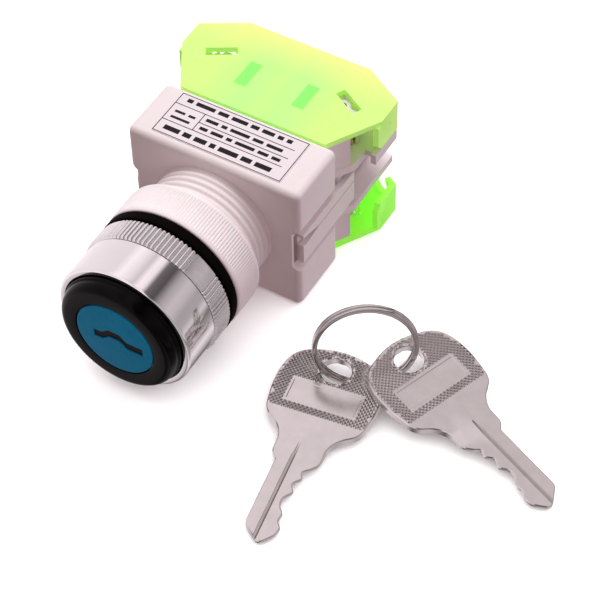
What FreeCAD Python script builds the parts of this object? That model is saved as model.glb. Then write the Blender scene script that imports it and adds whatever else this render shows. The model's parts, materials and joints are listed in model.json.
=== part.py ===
import FreeCAD, Part
import math
import os

import Sketcher

# A panel key switch: a keyed rotary head with a threaded neck, a square housing, two contact blocks
# behind it, and its two keys on a split ring.
# The origin is on the head's axis, in the plane of the panel. -Y is the operator's side, +Z is up.

Vector = FreeCAD.Vector

doc = FreeCAD.newDocument("key_switch")

# ---------------------------------------------------------------- driving dimensions, in millimetres
DIMENSIONS = {
    "cap_front": -19.0,
    "cap_radius": 8.1,
    "cap_thickness": 1.6,
    "slot_left": -4.4,
    "slot_right": 6.1,
    "slot_width": 1.7,
    "slot_rise": 1.3,
    "collar_front": -18.9,
    "collar_bore": 8.35,
    "collar_face_radius": 11.0,
    "collar_radius": 12.5,
    "sleeve_front": -15.9,
    "sleeve_back": -7.45,
    "sleeve_radius": 14.0,
    "lip_bore": 12.75,
    "sleeve_wall": 1.0,
    "knurl_front": -7.3,
    "knurl_back": -2.2,
    "knurl_radius": 14.55,
    "gasket_radius": 14.45,
    "nut_length": 7.7,
    "nut_radius": 14.6,
    "neck_front": -6.6,
    "neck_radius": 12.4,
    "neck_bore": 9.1,
    "thread_pitch": 1.5,
    "thread_depth": 0.45,
    "housing_front": 15.2,
    "housing_back": 29.4,
    "housing_half_width": 18.5,
    "housing_half_height": 15.0,
    "housing_wall": 3.0,
    "housing_edge": 1.3,
    "label_left": -14.2,
    "label_right": 13.6,
    "label_front": 17.0,
    "label_back": 28.2,
    "channel_floor": 16.9,
    "channel_half_height": 5.55,
    "latch_rise": 3.3,
    "latch_drop": 4.2,
    "latch_seam": 0.75,
    "plug_radius": 6.0,
    "running_gap": 0.05,
    "cylinder_radius": 9.05,
    "cylinder_front": -17.1,
    "cylinder_back": 8.0,
    "drum_front": 9.0,
    "drum_back": 23.0,
    "pin_radius": 0.9,
    "pin_place": 15.0,
    "pusher_stroke": 3.0,
    "sleeve_of_pusher": 8.85,
    "pusher_front": 12.2,
    "pusher_back": 26.0,
    "plunger_height": 9.8,
    "block_front": 29.6,
    "block_front_half": 15.8,
    "block_half_width": 22.0,
    "block_shoulder": 40.1,
    "block_heel": 46.2,
    "block_back": 51.2,
    "block_back_half": 13.4,
    "base_low": 4.6,
    "base_half_width": 19.0,
    "base_back": 50.2,
    "base_floor": 6.4,
    "cover_low": 13.6,
    "cover_top": 14.8,
    "flap_low": 7.7,
    "flap_front": 38.8,
    "wall_thickness": 1.2,
    "clamp_across": 14.0,
    "clamp_along": 41.6,
    "screw_angle": 30.2,
    "plate_hole_radius": 1.8,
    "bridge_open": 38.2,
    "bridge_closed": 43.2,
    "contact_tab": 42.2,
    "screw_radius": 1.45,
    "screw_head_radius": 2.6,
    "floor_level": -15.0,
    "key_thickness": 2.0,
    "key_hole_radius": 2.85,
    "blade_half_width": 3.3,
    "blade_tip": -38.6,
    "ring_radius": 9.3,
    "ring_wire_width": 1.0,
    "ring_wire_height": 0.85,
    "ring_lean": 7.0,
    "ring_shift": 0.3,
}


class Size:
    """A number in millimetres together with the spreadsheet formula that gives it."""

    def __init__(self, value, formula):
        self.value = value
        self.formula = formula

    def __add__(self, other):
        return Size(self.value + number(other), f"({self.formula} + {formula(other)})")

    def __sub__(self, other):
        return Size(self.value - number(other), f"({self.formula} - {formula(other)})")

    def __rsub__(self, other):
        return Size(number(other) - self.value, f"({formula(other)} - {self.formula})")

    def __mul__(self, other):
        return Size(self.value * number(other), f"({self.formula} * {formula(other)})")

    def __neg__(self):
        return Size(-self.value, f"(0 - {self.formula})")

    __radd__ = __add__
    __rmul__ = __mul__


def number(size):
    return size.value if isinstance(size, Size) else float(size)


def formula(size):
    return size.formula if isinstance(size, Size) else repr(float(size))


def write_sheet():
    """Fills the spreadsheet and returns its cells as sizes by name."""
    sheet = doc.addObject("Spreadsheet::Sheet", "dimensions")
    cells = {}
    for row, (name, value) in enumerate(DIMENSIONS.items(), 1):
        sheet.set(f"A{row}", name)
        sheet.set(f"B{row}", str(value))
        sheet.setAlias(f"B{row}", name)
        cells[name] = Size(value, f"dimensions.{name}")
    doc.recompute()
    return cells


size = write_sheet()
made = []  # every sub-part, in the order it is made


def bind(thing, prop, value):
    """Sets a property and, for a size, ties it to the spreadsheet."""
    if "." not in prop:
        setattr(thing, prop, number(value))
    if isinstance(value, Size):
        thing.setExpression(prop, value.formula)
    elif "." in prop:
        thing.setExpression(prop, repr(float(value)))


# ---------------------------------------------------------------- sketches and features
def new_body(label, placement=None):
    body = doc.addObject("PartDesign::Body", label)
    body.Label = label
    if placement:
        body.Placement = placement
    made.append(body)
    return body


def origin_feature(body, role):
    return next(o for o in body.Origin.OriginFeatures if o.Role == role)


def new_sketch(body, plane, distance=0.0):
    """A sketch on one of the body's origin planes, moved along that plane's normal."""
    sketch = body.newObject("Sketcher::SketchObject", "sketch")
    sketch.AttachmentSupport = (origin_feature(body, plane), [""])
    sketch.MapMode = "FlatFace"
    bind(sketch, ".AttachmentOffset.Base.z", distance)
    return sketch


def hold(sketch, index, point, place):
    """Fixes a point of a sketch by its two distances from the sketch's origin."""
    for kind, value in zip(("DistanceX", "DistanceY"), place):
        constraint = sketch.addConstraint(Sketcher.Constraint(kind, index, point, number(value)))
        if isinstance(value, Size):
            sketch.setExpression(f"Constraints[{constraint}]", value.formula)


def polygon(*corners):
    """Draws a closed outline of straight edges into a sketch."""

    def draw(sketch):
        spots = [Vector(number(x), number(y), 0) for x, y in corners]
        count = len(spots)
        first = sketch.GeometryCount
        for i in range(count):
            sketch.addGeometry(Part.LineSegment(spots[i], spots[(i + 1) % count]), False)
        for i in range(count):
            following = first + (i + 1) % count
            sketch.addConstraint(Sketcher.Constraint("Coincident", first + i, 2, following, 1))
            hold(sketch, first + i, 1, corners[i])

    return draw


def rectangle(low_x, high_x, low_y, high_y):
    return polygon((low_x, low_y), (high_x, low_y), (high_x, high_y), (low_x, high_y))


def circle(x, y, radius):
    """Draws a circle into a sketch."""

    def draw(sketch):
        centre = Vector(number(x), number(y), 0)
        index = sketch.addGeometry(Part.Circle(centre, Vector(0, 0, 1), number(radius)), False)
        hold(sketch, index, 3, (x, y))
        constraint = sketch.addConstraint(Sketcher.Constraint("Radius", index, number(radius)))
        if isinstance(radius, Size):
            sketch.setExpression(f"Constraints[{constraint}]", radius.formula)

    return draw


def drawn(body, plane, distance, shapes):
    sketch = new_sketch(body, plane, distance)
    for shape in shapes:
        shape(sketch)
    return sketch


def slab(body, plane, low, high, *shapes, cut=False):
    """Adds or cuts the shapes, drawn square to the plane's axis, from low to high along it."""
    faces_back = plane == "XZ_Plane"  # that plane's normal is -Y
    sketch = drawn(body, plane, -low if faces_back else low, shapes)
    before = body.Shape.Volume if cut else 0.0
    feature = body.newObject("PartDesign::Pocket" if cut else "PartDesign::Pad", "slab")
    feature.Profile = sketch
    bind(feature, "Length", high - low)
    feature.Reversed = faces_back != cut
    return settled(body, before, cut)


def turned(body, *corners, cut=False):
    """Adds or cuts a round shape about the Y axis. Each corner is (place along Y, radius)."""
    sketch = drawn(body, "YZ_Plane", 0.0, [polygon(*corners)])
    before = body.Shape.Volume if cut else 0.0
    feature = body.newObject("PartDesign::Groove" if cut else "PartDesign::Revolution", "turned")
    feature.Profile = sketch
    feature.ReferenceAxis = (origin_feature(body, "Y_Axis"), [""])
    feature.Angle = 360
    return settled(body, before, cut)


def settled(body, before, cut):
    """Recomputes, and stops if a cut took nothing away."""
    doc.recompute()
    if cut and body.Shape.Volume > before - 1e-6:
        raise RuntimeError(f"a cut in {body.Label} removes nothing")
    return body.Tip


def repeated(body, features, axis, kind, **settings):
    """Repeats features round or along one of the body's axes."""
    pattern = body.newObject(f"PartDesign::{kind}Pattern", "pattern")
    pattern.Originals = features
    where = (origin_feature(body, axis), [""])
    if kind == "Polar":
        pattern.Axis = where
    else:
        pattern.Direction = where
    for prop, value in settings.items():
        if isinstance(value, Size):
            bind(pattern, prop, value)
        else:
            setattr(pattern, prop, value)
    body.Tip = pattern
    doc.recompute()
    return pattern


def soften(body, kind, amount, wanted):
    """Fillets or chamfers the edges that the test picks by their middle point and direction."""
    base = body.Tip
    picked = []
    for i, edge in enumerate(base.Shape.Edges, 1):
        middle = edge.valueAt((edge.FirstParameter + edge.LastParameter) / 2)
        if wanted(edge, middle):
            picked.append(f"Edge{i}")
    if not picked:
        raise RuntimeError(f"no edge of {body.Label} is picked")
    feature = body.newObject(f"PartDesign::{kind}", kind.lower())
    feature.Base = (base, picked)
    bind(feature, "Radius" if kind == "Fillet" else "Size", amount)
    doc.recompute()


def is_straight(edge):
    return edge.Curve.TypeId == "Part::GeomLine"


def near(a, b):
    return abs(a - number(b)) < 0.02


# ---------------------------------------------------------------- the head
def cap_slot(front, back, body):
    """The wavy key slot: two level ends and a hump in the middle."""
    left = size["slot_left"]
    right = size["slot_right"]
    width = size["slot_width"]
    rise = size["slot_rise"]
    low = -width * 0.5 - 0.2
    upper = [(right, low + width), (2.9, low + width), (1.5, low + width + rise)]
    upper += [(-1.5, low + width + rise), (-2.9, low + width), (left, low + width)]
    lower = [(left, low), (-2.6, low), (-1.2, low + rise), (1.2, low + rise), (2.6, low), (right, low)]
    slab(body, "XZ_Plane", front, back, polygon(*upper, *lower), cut=True)


WAFER_PLACES = (-13.6, -10.8, -8.0, -5.2, -2.4)


def make_lock():
    """The parts that turn with the key."""
    front = size["cap_front"]
    flange = front + size["cap_thickness"]
    cap = new_body("key_cap")
    turned(cap, (front, 0.0), (flange, 0.0), (flange, size["cap_radius"]), (front, size["cap_radius"]))
    soften(cap, "Fillet", 0.25, lambda edge, middle: near(middle.y, front) and not is_straight(edge))
    cap_slot(front - 0.1, flange + 0.1, cap)

    radius = size["plug_radius"]
    shoulder = size["cylinder_front"] - size["running_gap"]
    end = size["cylinder_back"] + 0.6
    plug = new_body("lock_plug")
    turned(plug, (flange, 0.0), (end, 0.0), (end, radius), (shoulder, radius), (shoulder, 7.9), (flange, 7.9))
    slab(plug, "XZ_Plane", flange - 0.1, 6.0, rectangle(-3.5, 3.5, -1.15, 1.15), cut=True)
    for place in WAFER_PLACES:
        slab(plug, "XZ_Plane", place, place + 1.0, rectangle(-4.1, 4.1, -7.0, 7.0), cut=True)
    slab(plug, "XZ_Plane", end, size["drum_front"] + 3.4, rectangle(-2.0, 2.0, -2.0, 2.0))

    make_wafers()

    front = size["drum_front"]
    back = size["drum_back"]
    drum = new_body("cam_drum")
    turned(drum, (front, 0.0), (back, 0.0), (back, radius), (front + 2.8, radius),
           (front + 2.8, radius - 0.8), (front + 0.3, radius - 0.8), (front + 0.3, radius), (front, radius))
    slab(drum, "XZ_Plane", front - 0.1, front + 3.6, rectangle(-2.05, 2.05, -2.05, 2.05), cut=True)
    detent = slab(drum, "XY_Plane", radius - 1.4, radius + 0.1, circle(0.0, front + 1.5, 0.8), cut=True)
    repeated(drum, [detent], "Y_Axis", "Polar", Angle=360, Occurrences=4)
    cut_cam_track(drum)


def cut_cam_track(drum):
    """Two helical tracks, half a turn apart: a quarter turn moves the follower pins by one stroke."""
    width = size["pin_radius"] + 0.25
    place = size["pin_place"]
    stroke = size["pusher_stroke"]
    floor = size["plug_radius"] - 2.1
    above = size["plug_radius"] + 0.5
    start = slab(drum, "YZ_Plane", floor, above, circle(place, 0.0, width), cut=True)
    end = slab(drum, "XY_Plane", floor, above, circle(0.0, place + stroke, width), cut=True)
    sketch = drawn(drum, "XY_Plane", 0.0, [rectangle(floor, above, place - width, place + width)])
    before = drum.Shape.Volume
    track = drum.newObject("PartDesign::SubtractiveHelix", "track")
    track.Profile = sketch
    track.ReferenceAxis = (origin_feature(drum, "Y_Axis"), [""])
    track.Mode = 0
    bind(track, "Pitch", stroke * 4)
    bind(track, "Height", stroke)
    track.LeftHanded = True
    settled(drum, before, True)
    repeated(drum, [start, end, track], "Y_Axis", "Polar", Angle=360, Occurrences=2)


def primitive(kind, name, place=Vector(), turn=FreeCAD.Rotation(), **sizes):
    shape = doc.addObject(f"Part::{kind}", name)
    for prop, value in sizes.items():
        bind(shape, prop, value)
    shape.Placement = FreeCAD.Placement(place, turn)
    return shape


def compound(label, links, placement=None):
    group = doc.addObject("Part::Compound", label)
    group.Label = label
    group.Links = links
    if placement:
        group.Placement = placement
    made.append(group)
    return group


def combined(kind, base, tool, name="combined"):
    result = doc.addObject(f"Part::{kind}", name)
    result.Base = base
    result.Tool = tool
    return result


ALONG_Y = FreeCAD.Rotation(Vector(1, 0, 0), -90)


def make_wafers():
    """Five sprung plates across the plug, each with a window that the key's blade passes."""
    plates = []
    for place in WAFER_PLACES:
        middle = place + 0.1
        box = primitive("Box", "wafer", Vector(-3.9, middle, -6.0), Length=7.8, Width=0.8, Height=12.0)
        window = primitive("Box", "window", Vector(-3.4, middle - 0.1, -1.2),
                           Length=6.8, Width=1.0, Height=2.4)
        end = primitive("Cylinder", "wafer_end", Vector(0, middle, 0), ALONG_Y,
                        Radius=size["plug_radius"] - 0.08, Height=0.8)
        rounded = doc.addObject("Part::MultiCommon", "wafer_rounded")
        rounded.Shapes = [box, end]
        plates.append(combined("Cut", rounded, window))
    compound("wafers", plates)


def make_head():
    """The fixed barrel of the lock, the black collar, and the bezel that screws on from the front."""
    bore = size["plug_radius"] + size["running_gap"]
    barrel = new_body("lock_cylinder")
    turned(barrel, (size["cylinder_front"], bore), (size["cylinder_back"], bore),
           (size["cylinder_back"], size["cylinder_radius"] - 0.1),
           (size["cylinder_front"], size["cylinder_radius"] - 0.1))

    face = size["collar_front"]
    radius = size["collar_radius"]
    back = size["neck_front"] - 0.1
    seat = size["cylinder_radius"] + 0.05
    collar = new_body("collar")
    turned(collar, (face, size["collar_bore"]), (face, size["collar_face_radius"]),
           (face + 0.45, size["collar_face_radius"] + 0.75), (face + 1.2, radius - 0.35),
           (face + 2.2, radius - 0.3), (face + 2.4, radius), (back, radius), (back, seat),
           (size["cylinder_front"], seat), (size["cylinder_front"], size["collar_bore"]))

    front = size["sleeve_front"]
    back = size["sleeve_back"]
    outer = size["sleeve_radius"]
    inner = outer - size["sleeve_wall"]
    spigot = size["knurl_radius"] - 1.0
    sleeve = new_body("bezel_sleeve")
    turned(sleeve, (front, size["lip_bore"]), (front, size["lip_bore"] + 0.45), (front + 0.5, outer - 0.3),
           (front + 1.0, outer), (back, outer), (back, spigot), (back + 1.9, spigot), (back + 1.9, inner),
           (front + 1.1, inner), (front + 1.1, size["lip_bore"]))

    front = size["knurl_front"]
    back = size["knurl_back"]
    outer = size["knurl_radius"]
    thread = size["neck_radius"] + 0.25
    ring = new_body("bezel_ring")
    turned(ring, (front, spigot + 0.05), (front, outer - 0.5), (front + 0.35, outer - 0.1),
           (back - 0.35, outer - 0.1), (back, outer - 0.45), (back, thread), (front + 1.85, thread),
           (front + 1.85, spigot + 0.05))
    flute = slab(ring, "XZ_Plane", front, back, polygon(
        (-0.3, outer + 0.1), (0.3, outer + 0.1), (0.05, outer - 0.35), (-0.05, outer - 0.35)), cut=True)
    repeated(ring, [flute], "Y_Axis", "Polar", Angle=360, Occurrences=48)

    back = -size["running_gap"]
    front = size["knurl_back"] + size["running_gap"]
    rim = size["gasket_radius"]
    gasket = new_body("panel_gasket")
    turned(gasket, (front, thread), (front, rim - 0.2), (front + 0.2, rim), (back - 0.2, rim),
           (back, rim - 0.2), (back, thread))

    length = size["nut_length"]
    outer = size["nut_radius"]
    bore = size["neck_radius"] + 0.3
    nut = new_body("panel_nut")
    turned(nut, (0.0, bore), (0.0, outer - 0.9), (0.3, outer - 0.3), (0.9, outer), (length - 0.9, outer),
           (length - 0.3, outer - 0.3), (length, outer - 0.9), (length, bore))
    notch = slab(nut, "XZ_Plane", 1.4, length - 1.4, polygon(
        (-0.35, outer + 0.1), (0.35, outer + 0.1), (0.1, outer - 0.3), (-0.1, outer - 0.3)), cut=True)
    repeated(nut, [notch], "Y_Axis", "Polar", Angle=360, Occurrences=60)


# ---------------------------------------------------------------- the housing and what is in it
def make_housing():
    front = size["housing_front"]
    back = size["housing_back"]
    half = size["housing_half_width"]
    top = size["housing_half_height"]
    wall = size["housing_wall"]
    body = new_body("housing")
    slab(body, "XZ_Plane", front, back, rectangle(-half, half, -top, top))
    soften(body, "Fillet", size["housing_edge"], lambda edge, middle: True)
    flat = size["channel_half_height"] - 1.15
    mouth = size["channel_half_height"] + 0.72
    for side in (1, -1):
        floor = size["channel_floor"] * side
        edge = (half + 1.0) * side
        slab(body, "XZ_Plane", front - 1.0, back + 1.0, polygon(
            (floor, -flat), (edge, -mouth), (edge, mouth), (floor, flat)), cut=True)
        deep = floor - 3.3 * side
        slab(body, "XY_Plane", -size["latch_drop"], size["latch_rise"], polygon(
            (deep, front + 0.7), (edge, front + 0.7), (edge, front + 2.0), (deep, front + 2.0)), cut=True)
    neck = size["neck_radius"]
    tip = size["neck_front"]
    turned(body, (tip, 0.0), (front + 1.0, 0.0), (front + 1.0, neck), (tip + 0.6, neck), (tip, neck - 0.6))
    turned(body, (tip - 1.0, 0.0), (front + wall, 0.0), (front + wall, size["neck_bore"]),
           (tip - 1.0, size["neck_bore"]), cut=True)
    slab(body, "XZ_Plane", front + wall - 0.1, back + 1.0, rectangle(
        -half + wall + 1.7, half - wall - 1.7, -top + wall - 0.4, top - wall + 0.4), cut=True)
    pitch = size["thread_pitch"]
    depth = size["thread_depth"]
    place = front - pitch * 0.5
    root = turned(body, (place - pitch * 0.4, neck + 0.05), (place + pitch * 0.4, neck + 0.05),
                  (place + pitch * 0.1, neck - depth), (place - pitch * 0.1, neck - depth), cut=True)
    repeated(body, [root], "Y_Axis", "Linear", Reversed=True, Mode=1, Offset=pitch, Occurrences=14)

    plate = new_body("label")
    slab(plate, "XY_Plane", top, top + 0.12, rectangle(
        size["label_left"], size["label_right"], size["label_front"], size["label_back"]))


def make_detent():
    """A sprung ball that holds the drum at the ends of its turn, in a ring of its own."""
    front = size["cylinder_back"] + 0.1
    back = size["pusher_front"] - 0.2
    place = size["drum_front"] + 1.5
    rim = size["neck_bore"] - 0.05
    bore = size["plug_radius"] + 0.3
    ring = new_body("detent_ring")
    turned(ring, (front, bore), (back, bore), (back, rim), (front, rim))
    slab(ring, "XY_Plane", 0.0, rim + 1.0, circle(0.0, place, 1.1), cut=True)
    ball = doc.addObject("Part::Sphere", "detent_ball")
    ball.Label = "detent_ball"
    bind(ball, "Radius", 1.05)
    height = number(size["plug_radius"]) - 0.75 + 1.05
    ball.Placement.Base = Vector(0, number(place), height)
    made.append(ball)
    coil("detent_spring", Vector(0, number(place), height + 1.06), FreeCAD.Rotation(),
         number(rim) - height - 1.3, 0.75, 0.14, 3)


def coil(label, place, turn, length, radius, wire, turns):
    """A round-wire compression spring along its own +Z, starting at its place."""
    body = new_body(label, FreeCAD.Placement(place, turn))
    sketch = drawn(body, "XZ_Plane", 0.0, [circle(radius, wire, wire)])
    spring = body.newObject("PartDesign::AdditiveHelix", "coil")
    spring.Profile = sketch
    spring.ReferenceAxis = (origin_feature(body, "Z_Axis"), [""])
    spring.Mode = 0
    spring.Pitch = (length - 2 * wire) / turns
    spring.Height = length - 2 * wire
    doc.recompute()
    return body


def make_pusher():
    """The follower that the cam drum drives, and its two steel pins."""
    front = size["pusher_front"]
    back = size["pusher_back"]
    bore = size["plug_radius"] + 0.3
    outer = size["sleeve_of_pusher"]
    place = size["pin_place"]
    pusher = new_body("pusher")
    turned(pusher, (front, bore), (front, outer), (back, outer), (back, 0.0), (back - 1.9, 0.0),
           (back - 1.9, bore))
    slab(pusher, "XZ_Plane", back - 1.9, back, rectangle(-3.0, 3.0, -11.6, 11.6))
    hole = slab(pusher, "YZ_Plane", 0.0, outer + 1.0, circle(place, 0.0, size["pin_radius"]), cut=True)
    repeated(pusher, [hole], "Y_Axis", "Polar", Angle=360, Occurrences=2)
    pins = []
    for side in (1, -1):
        low = Vector(4.35 * side, number(place), 0)
        pins.append(primitive("Cylinder", "pin", low, FreeCAD.Rotation(Vector(0, side, 0), 90),
                              Radius=size["pin_radius"], Height=outer - 4.4))
    compound("follower_pins", pins)


def make_carrier():
    """The white frame between the contact blocks, with a latch arm in each side channel of the housing."""
    back = size["housing_back"] + 0.1
    wide = size["housing_half_width"] - 0.1
    inner = size["channel_floor"] + 0.1
    front = size["housing_front"] + 1.7
    end = back + 6.5
    rise = size["latch_rise"]
    drop = size["latch_drop"]
    carrier = new_body("carrier_frame")
    slab(carrier, "XZ_Plane", back, back + 1.6, rectangle(-wide, wide, -drop, rise))
    slab(carrier, "XZ_Plane", back, back + 19.0, rectangle(-15.0, 15.0, -drop, rise))
    slab(carrier, "XZ_Plane", back + 3.0, back + 19.1,
         rectangle(-13.5, 13.5, 1.5 - drop, rise - 1.5), cut=True)
    for side in (1, -1):
        slab(carrier, "XZ_Plane", front, end, polygon(
            (inner * side, -drop), (wide * side, -drop), (wide * side, rise), (inner * side, rise)))
        cut_latch(carrier, side, front, end)


def cut_latch(carrier, side, front, end):
    """The seam along an arm, and the wedge at its front end that frees the sprung latch below it."""
    seam = size["latch_seam"]
    half_gap = 0.15
    wedge_end = front + 5.8
    outside = (size["housing_half_width"] + 1.0) * side
    seam_floor = (size["housing_half_width"] - 0.6) * side
    slab(carrier, "XZ_Plane", wedge_end - 0.2, end + 0.1, polygon(
        (seam_floor, seam - half_gap), (outside, seam - half_gap),
        (outside, seam + half_gap), (seam_floor, seam + half_gap)), cut=True)
    wedge_floor = (size["channel_floor"] - 0.5) * side
    low, high = (wedge_floor, outside) if side > 0 else (outside, wedge_floor)
    slab(carrier, "YZ_Plane", low, high, polygon(
        (front - 0.1, seam + 1.7), (wedge_end, seam + half_gap), (wedge_end, seam - half_gap),
        (front + 1.3, seam - 0.8), (front - 0.1, seam - 0.3)), cut=True)


# ---------------------------------------------------------------- the contact blocks
def both_sides(right):
    """The right half of an outline, from front to back, together with its mirror image."""
    return right + [(-across, along) for across, along in reversed(right)]


def octagon():
    """The outline of a contact block from above, with its long chamfers at the front."""
    return both_sides([(size["block_front_half"], size["block_front"]),
                       (size["block_half_width"], size["block_shoulder"]),
                       (size["block_half_width"], size["block_heel"]),
                       (size["block_back_half"], size["block_back"])])


def skirt():
    """The cover's hanging wall: both end flaps, both rear chamfers and the back."""
    wall = size["wall_thickness"]
    wide = size["block_half_width"]
    start = size["flap_front"]
    outer = [(wide, start), (wide, size["block_heel"]), (size["block_back_half"], size["block_back"])]
    inner = [(size["block_back_half"] - wall * 0.3, size["block_back"] - wall),
             (wide - wall, size["block_heel"] - wall * 0.55), (wide - wall, start)]
    mirror_outer = [(-across, along) for across, along in reversed(outer)]
    mirror_inner = [(-across, along) for across, along in reversed(inner)]
    return outer + mirror_outer + mirror_inner + inner


def tilted_rectangle(across, along, angle, half_long, half_wide):
    """A rectangle's four corners, with its long side turned from the X axis by an angle in degrees."""
    cosine = math.cos(math.radians(angle))
    sine = math.sin(math.radians(angle))
    corners = []
    for u, v in ((-1, -1), (1, -1), (1, 1), (-1, 1)):
        corners.append((across + (u * half_long * cosine - v * half_wide * sine),
                        along + (u * half_long * sine + v * half_wide * cosine)))
    return corners


def screw_frame(side, distance):
    """The placement whose +Z is a terminal screw's axis, a distance along it from the clamp."""
    angle = math.radians(number(size["screw_angle"]))
    axis = Vector(side * math.sin(angle), math.cos(angle), 0)
    start = Vector(side * number(size["clamp_across"]), number(size["clamp_along"]),
                   number(size["plunger_height"]))
    turn = FreeCAD.Rotation(Vector(-side * math.cos(angle), math.sin(angle), 0), Vector(), axis, "ZXY")
    return FreeCAD.Placement(start + axis * distance, turn)


def make_contact_base(name, whole):
    """The white tray of a contact block, with the room for its bridge and the slots for its tabs."""
    wide = size["block_half_width"]
    height = size["plunger_height"]
    floor = size["base_floor"]
    ceiling = size["cover_low"]
    front = size["block_front"]
    back = size["block_back"]
    tab = size["contact_tab"]
    base = new_body(f"contact_base_{name}", whole)
    plate_half = size["base_half_width"]
    plate = [(size["block_front_half"], front), (plate_half, 35.0), (plate_half, size["base_back"]),
             (size["block_back_half"], back)]
    slab(base, "XY_Plane", size["base_low"], floor, polygon(*both_sides(plate)))
    wall = [(15.4, front), (18.4, 34.6), (14.4, 34.6), (13.9, 37.0), (9.4, 39.4), (9.4, back - 2.6)]
    slab(base, "XY_Plane", floor - 0.1, ceiling, polygon(*both_sides(wall)))
    low = size["base_low"] + 0.5
    sill_front = size["flap_front"] - 1.0
    sill_back = size["block_heel"] - 0.1
    sill = wide - size["wall_thickness"]
    slab(base, "XY_Plane", low, floor, rectangle(plate_half - 0.1, wide, sill_front + 1.5, sill_back))
    slab(base, "XY_Plane", low, size["flap_low"] - 0.2, rectangle(sill, wide, sill_front, sill_back))
    slab(base, "XY_Plane", floor + 1.0, ceiling + 0.1, rectangle(-8.2, 8.2, 33.0, 47.4), cut=True)
    slab(base, "XY_Plane", floor + 1.0, ceiling + 0.1, rectangle(-12.6, 12.6, front + 1.4, 31.8), cut=True)
    slab(base, "XZ_Plane", front - 0.1, back, rectangle(-2.1, 2.1, height - 1.7, height + 1.7), cut=True)
    slab(base, "XY_Plane", floor + 1.0, ceiling + 0.1,
         rectangle(-10.0, 10.0, tab - 0.1, tab + 0.9), cut=True)


def make_contact_cover(name, whole):
    """The clear cover, with a test slot over each clamp and a screwdriver's way in each rear chamfer."""
    wide = size["block_half_width"]
    angle = number(size["screw_angle"])
    ceiling = size["cover_low"]
    front = size["flap_front"]
    low = size["flap_low"]
    cover = new_body(f"contact_cover_{name}", whole)
    slab(cover, "XY_Plane", ceiling, size["cover_top"], polygon(*octagon()))
    slab(cover, "XY_Plane", low, ceiling + 0.1, polygon(*skirt()))
    slab(cover, "YZ_Plane", -wide - 1.0, wide + 1.0, polygon(
        (front - 0.1, low - 0.1), (front + 1.2, low - 0.1), (front - 0.1, low + 1.5)), cut=True)
    for side in (1, -1):
        across = size["clamp_across"] * side
        slab(cover, "XY_Plane", ceiling - 0.1, size["cover_top"] + 0.1, polygon(
            *tilted_rectangle(across, size["clamp_along"], -angle * side, 3.1, 1.0)), cut=True)
        cut_screw_way(cover, side)
    slab(cover, "XY_Plane", ceiling - 0.7, ceiling + 0.1,
         rectangle(-7.6, -5.0, 35.4, 42.0), rectangle(5.0, 7.6, 35.4, 42.0))


def make_contact_block(name, turn, bridge_front):
    """One contact block. The lower one is the upper one turned half round the head's axis."""
    whole = FreeCAD.Placement(Vector(), FreeCAD.Rotation(Vector(0, 1, 0), turn))
    height = size["plunger_height"]
    make_contact_base(name, whole)
    make_contact_cover(name, whole)

    plunger = new_body(f"plunger_{name}", whole)
    end = bridge_front + 2.0
    slab(plunger, "XZ_Plane", size["pusher_back"], end, rectangle(-1.9, 1.9, height - 1.5, height + 1.5))
    slab(plunger, "XZ_Plane", bridge_front, bridge_front + 0.8,
         rectangle(-2.5, 2.5, height - 0.9, height + 0.9), cut=True)
    bridge = new_body(f"bridge_{name}", whole)
    slab(bridge, "XZ_Plane", bridge_front + 0.02, bridge_front + 0.78,
         rectangle(-7.9, 7.9, height - 0.88, height + 0.88))

    length = number(size["block_back"]) - number(size["wall_thickness"]) - 0.1 - number(end)
    seat = whole.multVec(Vector(0, number(end) + 0.05, number(height)))
    coil(f"contact_spring_{name}", seat, ALONG_Y, length - 0.1, 1.3, 0.18, 5)

    tab_front = number(size["contact_tab"])
    terminals = []
    clamps = []
    for side in (1, -1):
        seat = screw_frame(side, -1.7)
        plate = primitive("Box", "terminal_plate", Length=6.2, Width=6.4, Height=0.8)
        set_in(seat, plate, -3.1, -3.2)
        tab = primitive("Box", "terminal_tab", Vector(6.2 if side > 0 else -10.9, tab_front, 7.8),
                        Length=4.7, Width=0.8, Height=4.0)
        foot = primitive("Box", "terminal_foot", Vector(9.5 if side > 0 else -10.9, tab_front - 0.7, 7.8),
                         Length=1.4, Width=1.5, Height=4.0)
        strip = doc.addObject("Part::MultiFuse", "terminal")
        strip.Shapes = [plate, foot, tab]
        terminals.append(pierced(strip, seat, 0.8))
        grip = screw_frame(side, -0.5)
        clamp = primitive("Box", "clamp", Length=6.4, Width=6.9, Height=1.0)
        set_in(grip, clamp, -3.2, -3.2 if side > 0 else -3.7)
        clamps.append(pierced(clamp, grip, 1.0))
        make_screw(f"terminal_screw_{name}_{'right' if side > 0 else 'left'}", whole, side)
    compound(f"terminals_{name}", terminals, whole)
    compound(f"clamp_plates_{name}", clamps, whole)


def set_in(frame, shape, x, y, z=0.0):
    """Puts a primitive at a place in a screw's frame."""
    shape.Placement = frame.multiply(FreeCAD.Placement(Vector(x, y, z), FreeCAD.Rotation()))
    return shape


def pierced(plate, frame, thickness):
    """Cuts the screw's hole through a plate that stands in the screw's frame."""
    hole = primitive("Cylinder", "hole", Radius=size["plate_hole_radius"], Height=thickness + 1.0)
    return combined("Cut", plate, set_in(frame, hole, 0, 0, -0.5))


def cut_screw_way(cover, side):
    """The round opening in the rear chamfer that a screwdriver goes through."""
    before = cover.Shape.Volume
    sketch = new_sketch(cover, "XY_Plane")
    sketch.setExpression(".AttachmentOffset.Base.z", None)
    sketch.AttachmentOffset = screw_frame(side, 4.0)
    circle(0.0, 0.0, 3.0)(sketch)
    way = cover.newObject("PartDesign::Pocket", "screw_way")
    way.Profile = sketch
    way.Length = 8.0
    way.Reversed = True
    settled(cover, before, True)


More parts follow.
